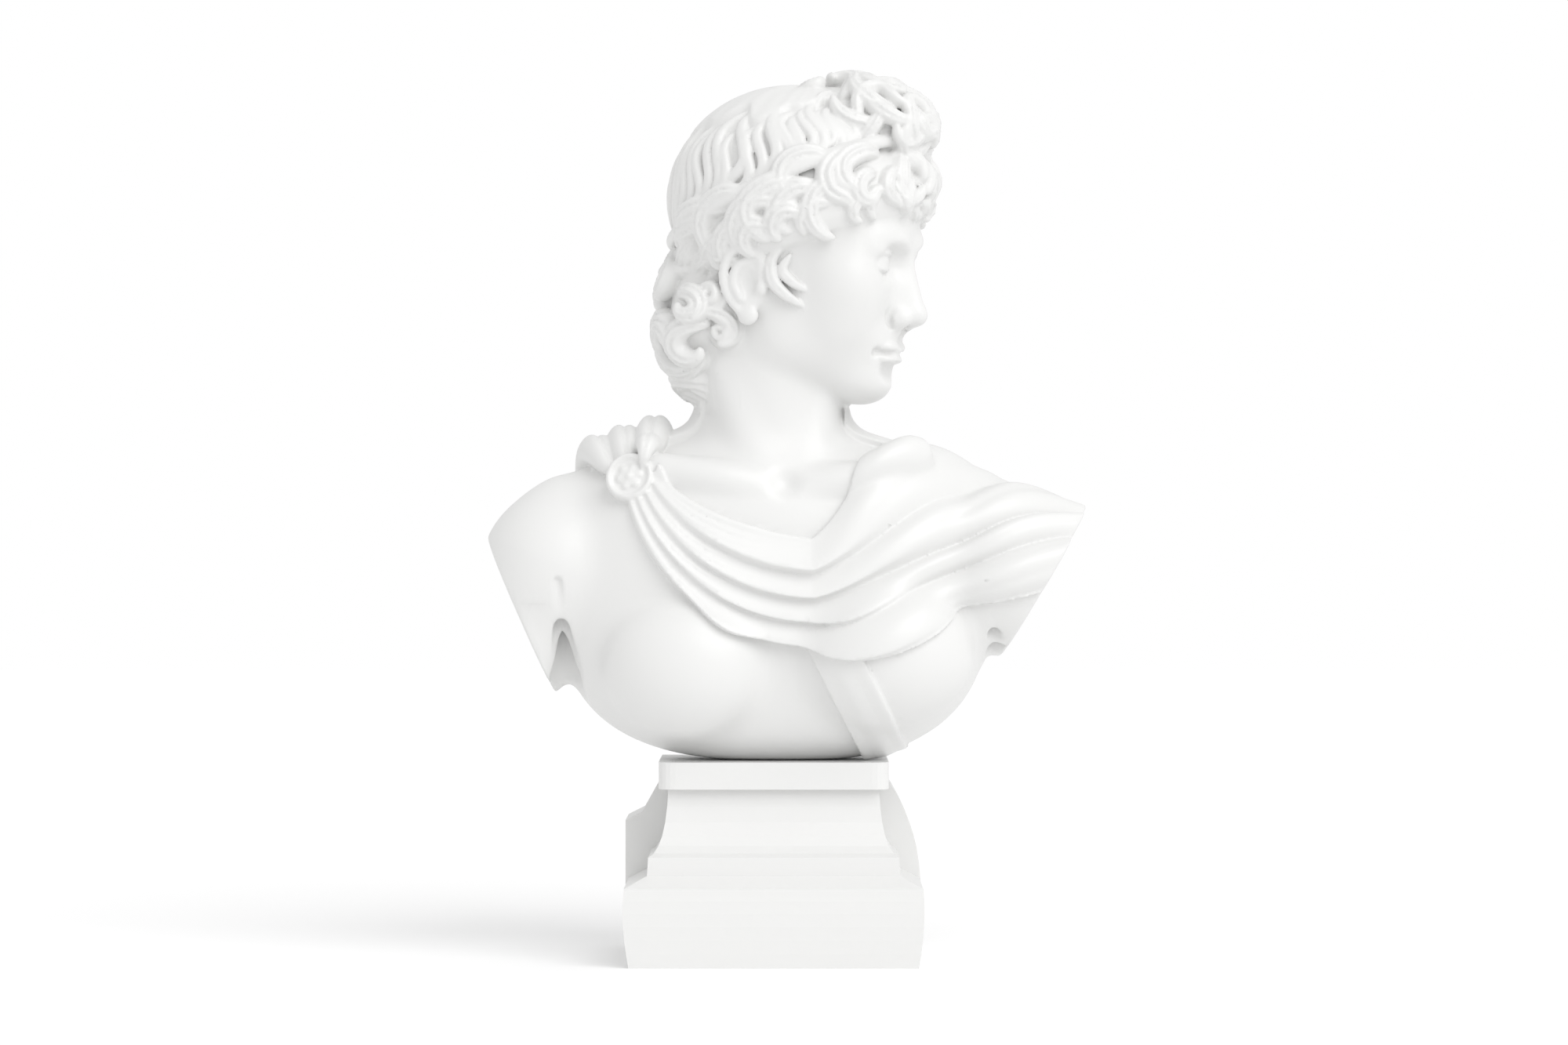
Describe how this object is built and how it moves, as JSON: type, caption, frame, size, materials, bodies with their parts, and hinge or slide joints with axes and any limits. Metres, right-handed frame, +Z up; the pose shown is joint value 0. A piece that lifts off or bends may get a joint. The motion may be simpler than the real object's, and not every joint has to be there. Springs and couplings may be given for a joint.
{
  "type": "resin bust statuette",
  "caption": "Decorative white resin bust of a classical youth in a pinned mantle, on a moulded plinth, resting by its own weight.",
  "frame": {"origin": "middle of the plinth's underside, on the surface that the statuette stands on", "axes": "+Z up, -Y the way the chest faces, +X to the figure's left, which is the way the head is turned"},
  "size_m": [0.2121, 0.0962, 0.3137],
  "materials": {
    "bust_resin": "cast resin with a white satin paint, softly glossy, with small casting pinholes",
    "plinth_resin": "the same white satin paint on flat mouldings with slightly blunt edges"
  },
  "bodies": {
    "root": {"bust": "bust_resin", "plinth": "plinth_resin"}
  },
  "joints": []
}
